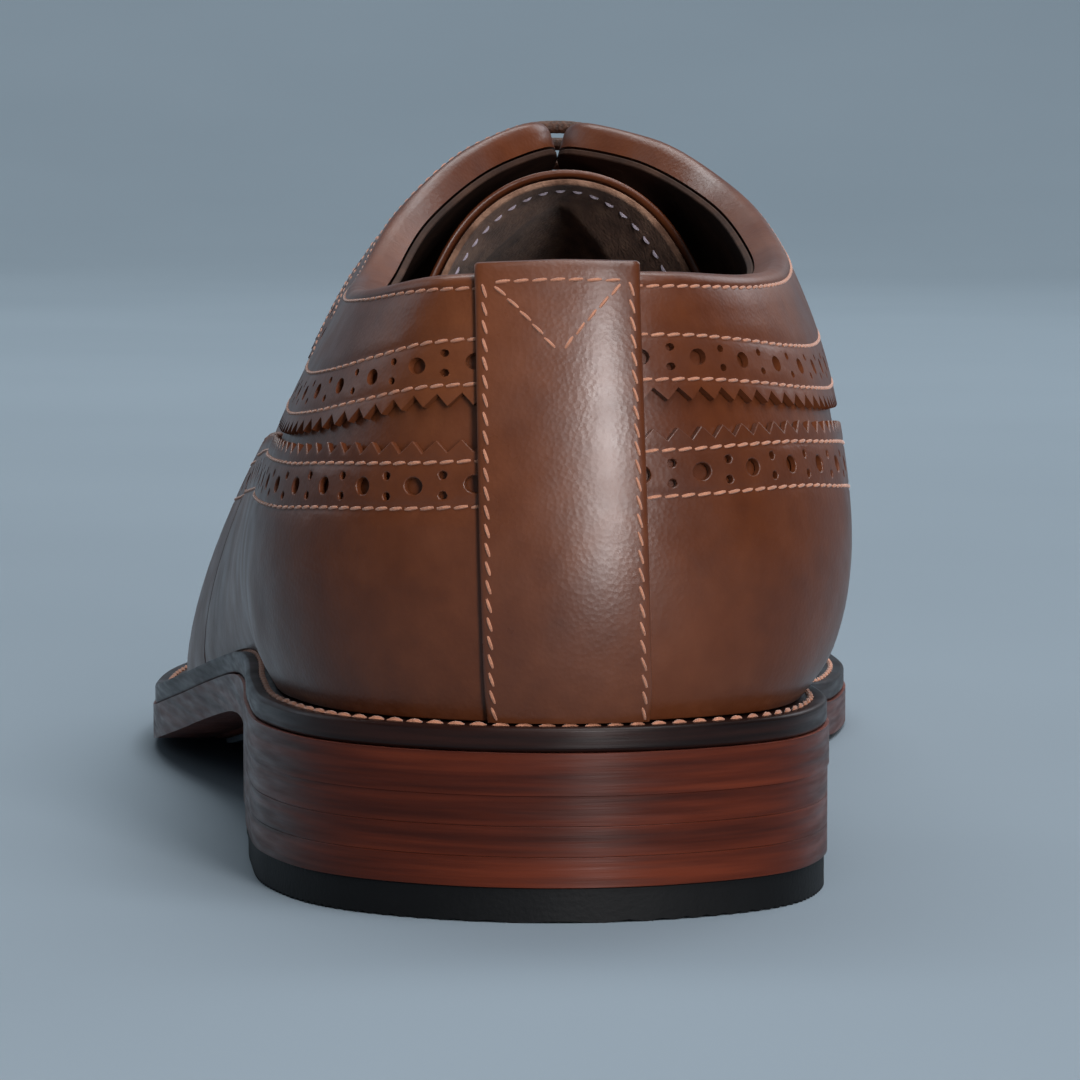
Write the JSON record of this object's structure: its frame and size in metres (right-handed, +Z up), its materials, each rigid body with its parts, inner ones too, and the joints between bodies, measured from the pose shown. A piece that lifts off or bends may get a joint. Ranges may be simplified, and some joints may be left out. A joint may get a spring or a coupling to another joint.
{
  "type": "oxford shoe",
  "caption": "Men's brown leather brogue oxford shoe, left foot, with stacked heel, rubber top lift and leather sole with a rubber forefoot.",
  "frame": {"origin": "on the ground, midway between the back of the heel and the tip of the toe and between the widest points of the sole", "axes": "+Y towards the heel, -Y towards the toe, +X towards the outer side of the left foot, +Z up"},
  "size_m": [0.1068, 0.305, 0.0948],
  "materials": {
    "upper_leather": "smooth, semi-gloss, burnished",
    "lining_leather": "matt",
    "tongue_suede": "suede",
    "insole_leather": "matt, unfinished",
    "sock_leather": "matt",
    "sole_leather": "mottled, burnished at the edge",
    "heel_leather": "stacked, waxed edge",
    "welt_leather": "waxed edge",
    "heel_rubber": "fine ribs",
    "tread_rubber": "moulded net pattern",
    "canvas_rib": "woven",
    "cork": "granular",
    "steel": "brushed",
    "stiffener_board": "pressed board",
    "eyelet_brass": "satin",
    "nail_brass": "polished",
    "sewing_thread": "waxed thread",
    "lace_cotton": "waxed braid",
    "aglet_plastic": "gloss"
  },
  "bodies": {
    "shoe": {"aglet_1": "aglet_plastic", "aglet_2": "aglet_plastic", "back_strip": "upper_leather", "cork_filler": "cork", "counter_stiffener": "stiffener_board", "eyelet_lateral_1": "eyelet_brass", "eyelet_lateral_2": "eyelet_brass", "eyelet_lateral_3": "eyelet_brass", "eyelet_lateral_4": "eyelet_brass", "eyelet_lateral_5": "eyelet_brass", "eyelet_medial_1": "eyelet_brass", "eyelet_medial_2": "eyelet_brass", "eyelet_medial_3": "eyelet_brass", "eyelet_medial_4": "eyelet_brass", "eyelet_medial_5": "eyelet_brass", "facing_lateral": "upper_leather", "facing_medial": "upper_leather", "forefoot_rubber": "tread_rubber", "foxing_lateral": "upper_leather", "foxing_medial": "upper_leather", "heel_lift_1": "heel_leather", "heel_lift_2": "heel_leather", "heel_lift_3": "heel_leather", "heel_nail_1": "nail_brass", "heel_nail_2": "nail_brass", "heel_nail_3": "nail_brass", "heel_nail_4": "nail_brass", "heel_nail_5": "nail_brass", "insole": "insole_leather", "insole_rib": "canvas_rib", "lace": "lace_cotton", "outsole": "sole_leather", "quarter_lateral": "upper_leather", "quarter_lining_lateral": "lining_leather", "quarter_lining_medial": "lining_leather", "quarter_medial": "upper_leather", "shank": "steel", "sock_liner": "sock_leather", "toe_puff": "stiffener_board", "top_lift": "heel_rubber", "vamp": "upper_leather", "vamp_lining": "lining_leather", "welt": "welt_leather", "wing_cap": "upper_leather"},
    "tongue": {"tongue": "upper_leather", "tongue_lining": "tongue_suede"}
  },
  "joints": [
    {"name": "tongue_hinge", "type": "hinge", "parent": "shoe", "child": "tongue", "pos_m": [-0.0075, -0.0265, 0.0665], "axis": [1, 0, 0], "range_deg": [-10, 0], "stiffness_Nm_per_rad": 0.3, "springref_deg": 1.15}
  ]
}
